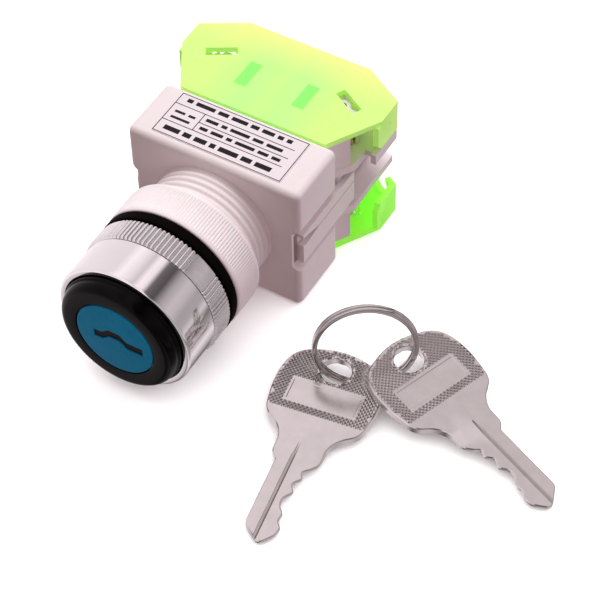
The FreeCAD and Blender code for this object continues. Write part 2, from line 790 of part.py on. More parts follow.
def make_screw(label, whole, side):
    """A slotted cheese-head screw, made along +Z and set on its terminal's axis."""
    body = new_body(label, whole.multiply(screw_frame(side, -3.8)))
    slab(body, "XY_Plane", 0.0, 4.5, circle(0.0, 0.0, size["screw_radius"]))
    slab(body, "XY_Plane", 4.4, 6.3, circle(0.0, 0.0, size["screw_head_radius"]))
    slab(body, "XY_Plane", 5.5, 6.4, rectangle(-0.4, 0.4, -3.0, 3.0), cut=True)


# ---------------------------------------------------------------- the keys and their ring
def key_outline():
    """One key seen from above, with its hole at the origin and its blade along -X."""
    half = size["blade_half_width"]
    head = [(-21.6, half), (-20.2, 4.6), (-16.4, 4.7), (-14.2, 6.2), (-12.6, 8.6), (-11.2, 9.4), (-6.0, 10.2),
            (-1.5, 10.0), (1.4, 8.9), (3.0, 7.0), (4.3, 3.0), (4.6, 0.0)]
    mirrored = [(along, -across) for along, across in reversed(head[:-1])]
    notches = [(-22.6, -2.0), (-23.8, -2.9), (-25.4, -1.3), (-27.0, -2.4), (-28.8, -0.9), (-30.4, -1.1),
               (-31.8, -2.3), (-33.4, -1.9), (-34.6, -3.0), (-36.4, -2.6)]
    tip = [(size["blade_tip"], -0.7), (size["blade_tip"], 0.3), (size["blade_tip"] + 2.6, half)]
    return head + mirrored + notches + tip


def make_key(label, placement):
    body = new_body(label, placement)
    thickness = size["key_thickness"]
    slab(body, "XY_Plane", 0.0, thickness, polygon(*key_outline()))
    slab(body, "XY_Plane", -0.1, thickness + 0.1, circle(0.0, 0.0, size["key_hole_radius"]), cut=True)
    for low, high in ((thickness - 0.25, thickness + 0.1), (-0.1, 0.25)):
        slab(body, "XY_Plane", low, high, rectangle(-8.6, -4.2, -6.6, 6.6), cut=True)
    for depth, low, high in ((0.4, -4.0, 0.3), (0.6, 0.25, 0.9)):
        groove = rectangle(-40.0, -18.5, low, high)
        slab(body, "XY_Plane", thickness - depth, thickness + 0.1, groove, cut=True)
        slab(body, "XY_Plane", -0.1, depth, groove, cut=True)


def key_placement(tip, hole, rise, flipped):
    """Lays a key with its blade's tip on the floor and its head raised, from two points on the floor plan."""
    floor = number(size["floor_level"])
    axis = Vector(hole[0] - tip[0], hole[1] - tip[1], rise)
    turn = FreeCAD.Rotation(axis, Vector(), Vector(0, 0, -1 if flipped else 1), "XZY")
    length = -number(size["blade_tip"])
    end = Vector(tip[0], tip[1], floor + 0.02)
    lift = Vector()
    if flipped:
        lift = turn.multVec(Vector(0, 0, -number(size["key_thickness"])))
    base = end + turn.multVec(Vector(length, 0, 0)) + lift
    return FreeCAD.Placement(base, turn)


def make_key_ring(holes):
    """A split ring of two flat coils side by side. It stands in both keys' holes and leans back a little."""
    radius = number(size["ring_radius"])
    chord = holes[1] - holes[0]
    lean = math.radians(number(size["ring_lean"]))
    level = Vector(chord.y, -chord.x, 0).normalize()
    axis = level * math.cos(lean) + Vector(0, 0, math.sin(lean))
    axis = (axis - chord * (axis.dot(chord) / chord.dot(chord))).normalize()
    upward = chord.cross(axis).normalize()
    if upward.z < 0:
        upward = -upward
    rise = math.sqrt(radius ** 2 - chord.Length ** 2 / 4)
    middle = (holes[0] + holes[1]) * 0.5 - chord * (number(size["ring_shift"]) / chord.Length)
    centre = middle + upward * rise + axis * 0.3
    ring = new_body("key_ring", FreeCAD.Placement(centre, FreeCAD.Rotation(Vector(0, 0, 1), axis)))
    width = size["ring_wire_width"] * 0.5
    height = size["ring_wire_height"]
    slab(ring, "XY_Plane", -height, height, circle(0.0, 0.0, size["ring_radius"] + width),
         circle(0.0, 0.0, size["ring_radius"] - width))
    doc.recompute()
    gap = ring.Shape.BoundBox.ZMin - number(size["floor_level"])
    ring.Placement.Base.z -= gap - 0.03


def make_keys():
    """Both keys with their tips on the floor, the second one turned over and lying across the first."""
    places = [key_placement((39.4, -35.7), (33.6, 3.1), 2.0, False),
              key_placement((80.5, -3.5), (45.3, 9.6), 4.1, True)]
    holes = []
    for index, place in enumerate(places, 1):
        make_key(f"key_{index}", place)
        holes.append(place.multVec(Vector(0, 0, number(size["key_thickness"]) / 2)))
    make_key_ring(holes)


def check_and_write():
    doc.recompute()
    for thing in doc.Objects:
        if "Invalid" in thing.State or "Error" in thing.State:
            raise RuntimeError(f"{thing.Label} failed: {thing.State}")
    os.makedirs("parts", exist_ok=True)
    for part in made:
        shape = part.Shape
        if shape.isNull() or not shape.isValid() or not shape.Solids:
            raise RuntimeError(f"{part.Label} has no valid solid")
        shape.exportStep(f"parts/{part.Label}.step")
        print(f"{part.Label:28s} {len(shape.Solids)} solids, {shape.Volume:10.2f} mm3")


make_lock()
make_head()
make_housing()
make_detent()
make_pusher()
make_carrier()
make_contact_block("upper", 0, size["bridge_open"])
make_contact_block("lower", 180, size["bridge_closed"])
make_keys()
check_and_write()
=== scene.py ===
import json
import math

import bmesh
import bpy
import numpy as np
from mathutils import Matrix, Vector, geometry

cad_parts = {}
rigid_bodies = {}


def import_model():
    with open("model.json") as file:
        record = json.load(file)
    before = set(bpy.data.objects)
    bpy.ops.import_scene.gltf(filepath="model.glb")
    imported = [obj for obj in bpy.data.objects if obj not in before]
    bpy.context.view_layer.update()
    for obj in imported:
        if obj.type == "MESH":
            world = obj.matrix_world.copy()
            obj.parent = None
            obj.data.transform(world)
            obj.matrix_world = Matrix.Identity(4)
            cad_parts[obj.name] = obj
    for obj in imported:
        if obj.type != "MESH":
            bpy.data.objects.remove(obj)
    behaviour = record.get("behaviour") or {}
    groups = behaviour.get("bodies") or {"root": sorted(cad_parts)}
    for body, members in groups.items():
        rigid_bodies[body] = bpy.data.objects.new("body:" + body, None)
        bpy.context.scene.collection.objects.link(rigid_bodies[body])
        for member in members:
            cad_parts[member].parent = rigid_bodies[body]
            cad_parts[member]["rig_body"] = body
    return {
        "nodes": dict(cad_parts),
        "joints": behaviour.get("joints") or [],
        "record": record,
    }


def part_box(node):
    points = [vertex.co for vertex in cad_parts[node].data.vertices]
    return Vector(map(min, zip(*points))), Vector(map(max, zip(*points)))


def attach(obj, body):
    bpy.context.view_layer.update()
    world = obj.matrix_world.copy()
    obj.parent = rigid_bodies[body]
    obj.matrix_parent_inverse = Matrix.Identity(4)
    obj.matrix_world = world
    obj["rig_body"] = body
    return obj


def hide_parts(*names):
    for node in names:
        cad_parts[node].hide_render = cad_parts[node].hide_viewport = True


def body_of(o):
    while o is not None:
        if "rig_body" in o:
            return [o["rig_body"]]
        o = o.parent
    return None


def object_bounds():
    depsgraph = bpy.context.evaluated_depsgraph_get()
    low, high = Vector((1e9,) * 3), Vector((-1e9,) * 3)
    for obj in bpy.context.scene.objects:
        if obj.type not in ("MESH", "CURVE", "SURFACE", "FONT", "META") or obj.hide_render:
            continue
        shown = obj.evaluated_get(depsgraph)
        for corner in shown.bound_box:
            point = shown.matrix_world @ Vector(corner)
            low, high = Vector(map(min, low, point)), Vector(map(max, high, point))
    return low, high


# A panel key switch with its keys on a split ring. Lengths in this script are in millimetres, and a
# mesh is scaled to metres when it is made. The origin is on the head's axis in the plane of the panel,
# -Y is the operator's side and +Z is up.

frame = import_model()
cad_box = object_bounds()
MM = 0.001
SHARP = 35.0  # degrees between two faces, from which their edge is shaded sharp
scene = bpy.context.scene
scene.view_settings.view_transform = "Standard"


def node_box(name):
    """A CAD node's lowest and highest corners, in millimetres."""
    low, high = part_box(name)
    return low / MM, high / MM


def barrel(name):
    """Where a round CAD node about the Y axis starts and ends, and its outer radius."""
    low, high = node_box(name)
    return low.y, high.y, high.x


# ---------------------------------------------------------------- materials
def shader(name, **values):
    """A new material with one Principled shader, whose sockets are set by name."""
    material = bpy.data.materials.new(name)
    material.use_nodes = True
    principled = material.node_tree.nodes["Principled BSDF"]
    for key, value in values.items():
        principled.inputs[key.replace("_", " ")].default_value = value
    return material, principled


def add(material, kind, **values):
    """A new node in the material. Values that name a socket set it, and the others are properties."""
    node = material.node_tree.nodes.new(kind)
    for key, value in values.items():
        socket = key.replace("_", " ").strip()
        if socket in node.inputs:
            node.inputs[socket].default_value = value
        else:
            setattr(node, key, value)
    return node


def link(material, source, target):
    material.node_tree.links.new(source, target)


def place(material, stretch=(1, 1, 1)):
    """The surface point in millimetres, stretched along each axis."""
    coordinates = add(material, "ShaderNodeTexCoord")
    mapping = add(material, "ShaderNodeMapping", Scale=[s / MM for s in stretch])
    link(material, coordinates.outputs["Object"], mapping.inputs["Vector"])
    return mapping.outputs["Vector"]


def noise(material, scale, detail=3.0, stretch=(1, 1, 1)):
    texture = add(material, "ShaderNodeTexNoise", Scale=scale, Detail=detail)
    link(material, place(material, stretch), texture.inputs["Vector"])
    return texture.outputs["Fac"]


def ranged(material, value, low, high, start=0.3, end=0.7):
    """Carries a value from start..end to low..high."""
    node = add(material, "ShaderNodeMapRange")
    for socket, number in zip(("From Min", "From Max", "To Min", "To Max"), (start, end, low, high)):
        node.inputs[socket].default_value = number
    link(material, value, node.inputs["Value"])
    return node.outputs["Result"]


def mixed(material, share, first, second):
    """One colour where share is 0 and the other where it is 1. A colour may also be an output."""
    node = add(material, "ShaderNodeMix", data_type="RGBA")
    link(material, share, node.inputs[0])
    for socket, colour in ((node.inputs[6], first), (node.inputs[7], second)):
        if isinstance(colour, tuple):
            socket.default_value = (*colour, 1.0)
        else:
            link(material, colour, socket)
    return node.outputs[2]


def surface(name, colour, roughness, metal=0.0, tint=0.06, blotch=0.25, grain=4.0, relief=0.004,
            stretch=(1, 1, 1), spread=0.06, **sockets):
    """A moulded or plated surface: slow colour variation, uneven gloss and fine relief in millimetres."""
    material, principled = shader(name, Metallic=metal, **sockets)
    darker = tuple(c * (1 - tint) for c in colour)
    lighter = tuple(min(1.0, c * (1 + tint * 0.6)) for c in colour)
    share = ranged(material, noise(material, blotch, 4.0, stretch), 0.0, 1.0)
    link(material, mixed(material, share, darker, lighter), principled.inputs["Base Color"])
    patches = noise(material, blotch * 6, 5.0, stretch)
    gloss = ranged(material, patches, roughness - spread, roughness + spread)
    link(material, gloss, principled.inputs["Roughness"])
    bump = add(material, "ShaderNodeBump", Strength=1.0, Distance=relief * MM)
    link(material, noise(material, grain, 2.0, stretch), bump.inputs["Height"])
    link(material, bump.outputs["Normal"], principled.inputs["Normal"])
    return material


def axis_band(material, axis, low, high, edge):
    """1 where the distance from the middle plane along an axis is between low and high, else 0."""
    split = add(material, "ShaderNodeSeparateXYZ")
    link(material, place(material), split.inputs["Vector"])
    size = add(material, "ShaderNodeMath", operation="ABSOLUTE")
    link(material, split.outputs[axis], size.inputs[0])
    rise = ranged(material, size.outputs[0], 0.0, 1.0, low - edge, low + edge)
    fall = ranged(material, size.outputs[0], 1.0, 0.0, high - edge, high + edge)
    both = add(material, "ShaderNodeMath", operation="MULTIPLY")
    link(material, rise, both.inputs[0])
    link(material, fall, both.inputs[1])
    return both.outputs[0]


def cover_plastic(name, outer, middle, rear, rib, painted_glow):
    """Dyed clear plastic with a painted glow from emission that lifts its shade: paler over the white body,
    yellower behind, greener over two ribs.
    """
    # The emission is a painted glow in the cover's own colour that brightens its shaded parts.
    material = surface(name, outer, 0.3, tint=0.015, blotch=0.06, grain=1.0, relief=0.0005, spread=0.03,
                       Transmission_Weight=0.08, IOR=1.49, Subsurface_Weight=0.3, Subsurface_Scale=0.6 * MM,
                       Specular_IOR_Level=0.35, Emission_Color=(*outer, 1.0), Emission_Strength=painted_glow)
    principled = material.node_tree.nodes["Principled BSDF"]
    even = principled.inputs["Base Color"].links[0].from_socket
    soft_edge, crisp_edge = 4.0, 0.12
    over_body = axis_band(material, 0, -1.0, 9.0, soft_edge)
    paler = mixed(material, over_body, even, middle)
    across_ribs = axis_band(material, 0, 5.0, 7.6, crisp_edge)
    along_ribs = axis_band(material, 1, 35.4, 42.0, crisp_edge)
    on_ribs = add(material, "ShaderNodeMath", operation="MULTIPLY")
    link(material, across_ribs, on_ribs.inputs[0])
    link(material, along_ribs, on_ribs.inputs[1])
    behind = axis_band(material, 1, 47.0, 60.0, soft_edge)
    yellower = mixed(material, behind, paler, rear)
    link(material, mixed(material, on_ribs.outputs[0], yellower, rib), principled.inputs["Base Color"])
    return material


def make_materials():
    """One finish for each material slot of the record, and a few more for single pieces."""
    return {
        "blue_plastic": surface("blue_plastic", (0.014, 0.50, 0.88), 0.4, tint=0.1, blotch=0.5, relief=0.006,
                                Specular_IOR_Level=0.06),
        "black_plastic": surface("black_plastic", (0.002, 0.0015, 0.002), 0.11, tint=0.2, relief=0.0015,
                                 spread=0.03, Specular_IOR_Level=0.07),
        "rubber": surface("rubber", (0.004, 0.003, 0.003), 0.6, tint=0.2, grain=6.0, relief=0.01,
                          Specular_IOR_Level=0.01),
        "chrome": surface("chrome", (0.86, 0.84, 0.84), 0.075, metal=1.0, tint=0.02, relief=0.0006,
                          spread=0.02),
        "knurl": surface("knurl", (0.80, 0.78, 0.78), 0.26, metal=1.0, tint=0.06, blotch=1.0, relief=0.004),
        "white_plastic": surface("white_plastic", (0.86, 0.80, 0.79), 0.38, tint=0.02, relief=0.004,
                                 Subsurface_Weight=0.05, Subsurface_Scale=0.4 * MM),
        "nut_plastic": surface("nut_plastic", (0.92, 0.87, 0.86), 0.42, tint=0.02, relief=0.003,
                               Subsurface_Weight=0.08, Subsurface_Scale=0.5 * MM),
        "white_parts": surface("white_parts", (0.80, 0.79, 0.76), 0.4, tint=0.03),
        "label": surface("label", (0.84, 0.79, 0.80), 0.5, tint=0.02, relief=0.001),
        "ink": surface("ink", (0.02, 0.018, 0.02), 0.55, tint=0.3, blotch=2.0, relief=0.001,
                       Specular_IOR_Level=0.1),
        "green_cover": cover_plastic("green_cover", (0.58, 0.95, 0.22), (0.45, 0.95, 0.25),
                                     (0.8, 1.0, 0.25), (0.16, 0.85, 0.12), 0.25),
        # A shaded copy of the same cover plastic for the lower cover: painted shade as a more saturated
        # green, with a stronger painted glow.
        "green_cover_shaded_copy": cover_plastic("green_cover_shaded_copy", (0.34, 1.0, 0.07), (0.34, 1.0, 0.07),
                                           (0.34, 1.0, 0.07), (0.2, 0.9, 0.03), 0.34),
        "zinc": surface("zinc", (0.48, 0.46, 0.44), 0.35, metal=1.0, blotch=1.0),
        "brass": surface("brass", (0.72, 0.52, 0.22), 0.25, metal=1.0, blotch=1.0),
        "steel": surface("steel", (0.84, 0.83, 0.83), 0.25, metal=1.0, blotch=1.0, relief=0.002),
        "key_metal": surface("key_metal", (0.67, 0.64, 0.625), 0.19, metal=1.0, tint=0.05, blotch=0.4,
                             grain=5.0, relief=0.0004, spread=0.015),
        "ring_metal": surface("ring_metal", (0.55, 0.53, 0.515), 0.06, metal=1.0, tint=0.05, blotch=1.0,
                              spread=0.03, relief=0.0008),
    }


materials = make_materials()


# ---------------------------------------------------------------- building pieces
def finished(name, mesh, body, slot, replaced=(), finish=None, sharp=SHARP):
    """Turns a mesh into a piece of the object, with smooth shading between its sharp edges."""
    mesh.shade_smooth()
    mesh.set_sharp_from_angle(angle=math.radians(sharp))
    mesh.materials.clear()
    mesh.materials.append(materials[finish or slot])
    piece = bpy.data.objects.new(name, mesh)
    scene.collection.objects.link(piece)
    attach(piece, body)
    if replaced:
        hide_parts(*replaced)
    return piece


def mesh_of(name, points, faces, transform=None):
    """A clean mesh from points in millimetres."""
    builder = bmesh.new()
    corners = [builder.verts.new(Vector(p) * MM) for p in points]
    for face in faces:
        if len(set(face)) > 2:
            builder.faces.new([corners[i] for i in face])
    bmesh.ops.remove_doubles(builder, verts=builder.verts, dist=0.0005 * MM)
    bmesh.ops.recalc_face_normals(builder, faces=builder.faces)
    mesh = bpy.data.meshes.new(name)
    builder.to_mesh(mesh)
    builder.free()
    if transform:
        mesh.transform(transform)
    return mesh


def rounded(corners, steps=4):
    """A closed outline with its corners rounded. Each corner is (x, y) or (x, y, size of its round)."""
    largest_share = 0.48
    outline = []
    count = len(corners)
    for i, corner in enumerate(corners):
        spot = Vector(corner[:2])
        size = corner[2] if len(corner) > 2 else 0.0
        if size == 0.0:
            outline.append(spot)
            continue
        before = Vector(corners[i - 1][:2]) - spot
        after = Vector(corners[(i + 1) % count][:2]) - spot
        size = min(size, before.length * largest_share, after.length * largest_share)
        start = spot + before.normalized() * size
        end = spot + after.normalized() * size
        for k in range(steps + 1):
            t = k / steps
            outline.append(start * (1 - t) ** 2 + spot * 2 * t * (1 - t) + end * t ** 2)
    return outline


def lathe(name, profile, segments=256, relief=None):
    """A round mesh about the Y axis from a closed profile of (y, radius) points.

    relief(angle, index) is how far a profile point moves outwards there.
    """
    points = []
    faces = []
    count = len(profile)
    for k in range(segments):
        angle = 2 * math.pi * k / segments
        for i, (y, radius) in enumerate(profile):
            r = radius + (relief(angle, i) if relief else 0.0)
            points.append((r * math.cos(angle), y, r * math.sin(angle)))
            j = (i + 1) % count
            following = (k + 1) % segments
            faces.append((k * count + i, k * count + j, following * count + j, following * count + i))
    return mesh_of(name, points, faces)


def prism(name, outline, low, high, place_point):
    """A straight mesh between two levels. place_point carries (x, y, level) to the row frame."""
    count = len(outline)
    points = [place_point(p[0], p[1], level) for level in (low, high) for p in outline]
    faces = [tuple(range(count)), tuple(range(count, 2 * count))]
    faces += [(i, (i + 1) % count, count + (i + 1) % count, count + i) for i in range(count)]
    return mesh_of(name, points, faces)


def facing_front(x, z, y):
    return x, y, z


def facing_up(x, y, z):
    return x, y, z


def softened(node, name, width, slot, finish=None):
    """A CAD node's own shape with its sharp edges rounded, as a moulded or stamped piece has them."""
    builder = bmesh.new()
    builder.from_mesh(frame["nodes"][node].data)
    bmesh.ops.remove_doubles(builder, verts=builder.verts, dist=0.001 * MM)
    bmesh.ops.dissolve_limit(builder, angle_limit=math.radians(1.0), verts=builder.verts, edges=builder.edges)
    mesh = bpy.data.meshes.new(name)
    builder.to_mesh(mesh)
    builder.free()
    if "custom_normal" in mesh.attributes:
        mesh.attributes.remove(mesh.attributes["custom_normal"])
    piece = finished(name, mesh, body_of(frame["nodes"][node])[0], slot, (node,), finish)
    bevel = piece.modifiers.new("rounded_edges", "BEVEL")
    bevel.width = width * MM
    bevel.segments = 3
    bevel.limit_method = "ANGLE"
    bevel.angle_limit = math.radians(SHARP)
    bevel.harden_normals = True
    return piece


def carve(piece, tool):
    """Cuts a mesh object out of a piece and keeps the result as plain mesh."""
    cut = piece.modifiers.new("cut", "BOOLEAN")
    cut.operation = "DIFFERENCE"
    cut.solver = "EXACT"
    cut.object = tool
    bpy.context.view_layer.update()
    evaluated = piece.evaluated_get(bpy.context.evaluated_depsgraph_get())
    result = bpy.data.meshes.new_from_object(evaluated)
    piece.modifiers.clear()
    piece.data = result
    bpy.data.objects.remove(tool)


# ---------------------------------------------------------------- the head
SLOT_HALF = 0.95
THREAD_BORE = 12.65  # the radius inside what sits on the neck


def eased(t):
    """A share that starts and ends gently, held between 0 and 1."""
    t = min(1.0, max(0.0, t))
    return t * t * (3 - 2 * t)


def slot_outline(half_width):
    """The wavy key slot, level at both ends with a hump over the axis."""
    left, right = -4.4, 6.1
    level, rise = -0.2, 1.3
    foot, slope = 2.9, 2.0
    steps = 36
    centre = []
    for i in range(steps + 1):
        x = left + (right - left) * i / steps
        centre.append((x, level + rise * eased((foot - abs(x)) / slope)))
    upper = [(x, z + half_width) for x, z in centre]
    lower = [(x, z - half_width) for x, z in reversed(centre)]
    return upper + lower


def make_cap():
    """The blue cap that turns with the key, and a black sheet behind its slot: painted shade for the slot's
    dark inside.
    """
    front, back, radius = barrel("key_cap")
    profile = rounded([(front, 0.0), (front, radius, 0.3), (back, radius), (back, 0.0)])
    cap = finished("key_cap_face", lathe("key_cap_face", profile), "lock", "blue_plastic", ("key_cap",))
    tool_mesh = prism("slot_tool", slot_outline(SLOT_HALF), front - 1.0, back + 1.0, facing_front)
    tool = bpy.data.objects.new("slot_tool", tool_mesh)
    scene.collection.objects.link(tool)
    carve(cap, tool)
    cap.data.set_sharp_from_angle(angle=math.radians(SHARP))
    # A black sheet just behind the slot's face is painted shade, so the inside of the slot reads dark.
    shade_piece = prism("slot_shade_sheet", slot_outline(SLOT_HALF - 0.01), front + 0.25, back - 0.05, facing_front)
    finished("slot_shade_sheet", shade_piece, "lock", "black_plastic", finish="ink")


def make_collar():
    """The black collar: a flat face round the cap, a rounded shoulder and a shallow step behind it."""
    front, back, radius = barrel("collar")
    opening, bore = 8.35, 9.1
    face = radius - 1.4
    outer = radius - 0.02
    lip = front + 1.8
    profile = rounded([
        (front, opening, 0.12), (front, face, 0.5), (front + 0.55, face + 0.75, 0.4),
        (front + 1.5, radius - 0.3, 0.3), (front + 2.2, radius - 0.35, 0.15), (front + 2.4, outer, 0.15),
        (back, outer), (back, bore), (lip, bore), (lip, opening)])
    finished("collar_moulding", lathe("collar_moulding", profile), "root", "black_plastic", ("collar",))


def make_bezel():
    """The bright sleeve with its rolled lip, and the knurled ring behind it with four plain pads."""
    front, back, outer = barrel("bezel_sleeve")
    lip = 12.72
    lip_back = front + 1.1
    step = back - 1.9
    inner = outer - 1.0
    spigot = outer - 0.45
    profile = rounded([
        (front, lip, 0.12), (front, lip + 0.9, 0.15), (front + 0.2, outer - 0.12, 0.15),
        (front + 0.5, outer, 0.3), (step, outer, 0.12), (step, spigot), (back, spigot), (back, inner),
        (lip_back, inner), (lip_back, lip, 0.2)], steps=5)
    finished("bezel_sleeve_shell", lathe("bezel_sleeve_shell", profile), "bezel", "chrome", ("bezel_sleeve",))

    front, back, outer = barrel("bezel_ring")
    seat = front + 1.85
    seat_radius = spigot + 0.05
    profile = rounded([
        (front, seat_radius), (front, outer - 0.45, 0.12), (front + 0.4, outer, 0.25),
        (back - 0.45, outer, 0.3), (back, outer - 0.6, 0.15), (back, THREAD_BORE), (seat, THREAD_BORE),
        (seat, seat_radius)], steps=3)
    flutes, depth, sharpness = 96, 0.34, 1.3
    pad_half, pad_depth = 0.172, 0.07
    fluted_from = outer - 0.8

    def relief(angle, index):
        if profile[index][1] < fluted_from:
            return 0.0
        from_pad = abs((angle % (math.pi / 2)) - math.pi / 4)
        if from_pad < pad_half:
            return -pad_depth
        ridge = abs(math.sin(angle * flutes / 2))
        return -depth * (1 - ridge) ** sharpness

    ring = lathe("bezel_ring_knurled", profile, flutes * 8, relief)
    finished("bezel_ring_knurled", ring, "bezel", "chrome", ("bezel_ring",), "knurl", 24.0)


def make_gasket():
    """The rubber ring that seals the head against the panel."""
    front, back, outer = barrel("panel_gasket")
    edge = 0.35
    profile = rounded([(front, THREAD_BORE), (front, outer, edge), (back, outer, edge), (back, THREAD_BORE)])
    finished("gasket_ring", lathe("gasket_ring", profile), "root", "rubber", ("panel_gasket",))


def make_nut():
    """The ring nut: fine shallow flutes between two plain rounded rims."""
    front, back, outer = barrel("panel_nut")
    bore = 12.7
    rim = 0.95
    profile = rounded([
        (front, bore), (front, outer - 0.1, 0.8), (front + rim, outer), (front + rim + 0.25, outer),
        (back - rim - 0.25, outer), (back - rim, outer), (back, outer - 0.1, 0.8), (back, bore)], steps=5)
    flutes, depth = 150, 0.17
    fluted_from, fluted_to = front + rim + 0.1, back - rim - 0.1

    def relief(angle, index):
        y, radius = profile[index]
        if not fluted_from < y < fluted_to or radius < outer - 0.5:
            return 0.0
        return -depth * (1 - abs(math.sin(angle * flutes / 2)))

    nut = lathe("nut_fluted", profile, flutes * 6, relief)
    finished("nut_fluted", nut, "nut", "white_plastic", ("panel_nut",), "nut_plastic")


# ---------------------------------------------------------------- the housing's label
def make_label():
    """A paper label with a thin frame, rules and rows of plain bars where the printing would be."""
    low, high = node_box("label")
    top = high.z
    ink_height = 0.012
    line, margin = 0.17, 0.12
    word_gap, shortest = 0.75, 0.8
    sheet = prism("label_sheet", rounded([(low.x, low.y, 0.3), (high.x, low.y, 0.3), (high.x, high.y, 0.3),
                                          (low.x, high.y, 0.3)]), low.z, top, facing_up)
    finished("label_sheet", sheet, "root", "label", ("label",))
    bars = []

    def bar(x0, x1, y0, y1):
        bars.append((x0, x1, y0, y1))

    left, right = low.x + margin, high.x - margin
    front, back = low.y + margin, high.y - margin
    for edge in (left, right - line):
        bar(edge, edge + line, front, back)
    for edge in (front, back - line):
        bar(left, right, edge, edge + line)
    rules = [front + 3.3, front + 5.6, front + 8.0]
    rule_end = right - 1.6
    cell = left + 6.6
    for start, y in zip((left, cell, left), rules):
        bar(start, rule_end, y, y + line)
    bar(cell, cell + line, rules[0], rules[2])

    words = (3.4, 1.7, 2.6, 1.2, 4.1, 2.2)
    rows = [(front + 1.1, 1.15, left + 1.6, right - 2.6), (rules[0] + 0.85, 0.8, cell + 1.0, right - 2.6),
            (rules[1] + 0.9, 0.8, cell + 1.0, right - 2.6), (rules[2] + 1.2, 0.95, left + 1.8, right - 3.0),
            (rules[0] + 1.0, 0.6, left + 1.2, cell - 1.0), (rules[0] + 2.6, 0.6, left + 1.2, cell - 1.0)]
    for row, (y, height, start, end) in enumerate(rows):
        x = start
        index = row
        while x < end - shortest:
            width = min(words[index % len(words)], end - x)
            bar(x, x + width, y, y + height)
            x += width + word_gap
            index += 1
    points = []
    faces = []
    for x0, x1, y0, y1 in bars:
        first = len(points)
        for z in (top, top + ink_height):
            points += [(x0, y0, z), (x1, y0, z), (x1, y1, z), (x0, y1, z)]
        for face in ((0, 1, 2, 3), (4, 5, 6, 7), (0, 1, 5, 4), (1, 2, 6, 5), (2, 3, 7, 6), (3, 0, 4, 7)):
            faces.append(tuple(first + i for i in face))
    finished("label_print", mesh_of("label_print", points, faces), "root", "label", finish="ink")


# ---------------------------------------------------------------- the contact blocks
def middle_of(element):
    """The middle of a mesh's vertex, edge or face."""
    if isinstance(element, bmesh.types.BMVert):
        return element.co
    corners = [v.co for v in element.verts]
    return sum(corners, Vector()) / len(corners)


def make_waved_clamps(node):
    """The clamp plates, pressed into waves across the wire. Each is sliced first, so that it can bend."""
    turned = math.radians(30.2)
    middle_x, middle_y = 14.0, 41.6
    slices, slice_step = 10, 0.3
    wave_height, wave_length = 0.42, 3.3
    builder = bmesh.new()
    builder.from_mesh(frame["nodes"][node].data)
    bmesh.ops.remove_doubles(builder, verts=builder.verts, dist=0.001 * MM)
    for side in (1, -1):
        across = Vector((-side * math.cos(turned), math.sin(turned), 0))
        centre = Vector((middle_x * side, middle_y, 0.0)) * MM
        for k in range(-slices, slices + 1):
            spot = centre + across * slice_step * k * MM
            geom = [g for g in [*builder.verts, *builder.edges, *builder.faces] if middle_of(g).x * side > 0]
            bmesh.ops.bisect_plane(builder, geom=geom, plane_co=spot, plane_no=across)
        axis = Vector((side * math.sin(turned), math.cos(turned), 0))
        for v in builder.verts:
            if v.co.x * side > 0:
                along = (v.co - centre).dot(across) / MM
                v.co += axis * wave_height * math.sin(along * 2 * math.pi / wave_length) * MM
    mesh = bpy.data.meshes.new(f"{node}_waved")
    builder.to_mesh(mesh)
    builder.free()
    if "custom_normal" in mesh.attributes:
        mesh.attributes.remove(mesh.attributes["custom_normal"])
    finished(f"{node}_waved", mesh, "root", "steel", (node,))


# ---------------------------------------------------------------- the keys
# A key lies round its hole with its blade along -X. Both faces carry the same relief.
KEY_HALF = 1.0
KNURL = 0.19  # the height of a knurl point, and how far the plain face lies below the key's half thickness
TIP_X, TIP_Y = -38.6, -0.7
HOLE = 2.85
HOLE_ROUND = 0.14
EDGE_ROUND = 0.2
EDGE_DROP = 0.16
PANEL_FAR, PANEL_NEAR, PANEL_HALF = -8.6, -4.2, 6.6
PANEL_SLOPE = 0.12
PANEL_DEPTH = 0.16
MILL_START, MILL_FULL = -17.0, -20.0
MILL_FLAT, MILL_BOTTOM, MILL_EDGE = 0.25, 0.6, 0.95
SHALLOW, DEEP = 0.42, 0.75


def key_outline():
    """The key's outline round its hole, with the blade along -X and its cuts on the -Y side."""
    half = 3.3
    head = [(-21.6, half, 0.3), (-20.2, 4.6, 0.8), (-16.4, 4.7, 1.5), (-14.2, 6.2, 1.2), (-12.6, 8.6, 0.8),
            (-11.2, 9.4, 0.8), (-6.0, 10.2, 3.0), (-1.5, 10.0, 2.2), (1.4, 8.9, 1.6), (3.0, 7.0, 1.7),
            (4.3, 3.0, 1.6), (4.6, 0.0, 1.4)]
    mirrored = [(x, -y, r) for x, y, r in reversed(head[:-1])]
    cuts = [(-22.6, -2.0), (-23.8, -2.9), (-25.4, -1.3), (-27.0, -2.4), (-28.8, -0.9), (-30.4, -1.1),
            (-31.8, -2.3), (-33.4, -1.9), (-34.6, -3.0), (-36.4, -2.6)]
    notches = [(x, y, 0.7) for x, y in cuts]
    tip = [(TIP_X, TIP_Y, 0.5), (TIP_X, 0.3, 0.5), (-36.0, half, 0.9)]
    return rounded(head + mirrored + notches + tip, steps=5)


def shrunk(outline, amount):
    """The outline moved inwards, point by point."""
    moved = []
    count = len(outline)
    turning = sum(outline[i - 1].cross(outline[i]) for i in range(count))
    way = 1 if turning > 0 else -1
    for i in range(count):
        along = (outline[(i + 1) % count] - outline[i - 1]).normalized()
        moved.append(outline[i] + Vector((-along.y, along.x)) * amount * way)
    return moved


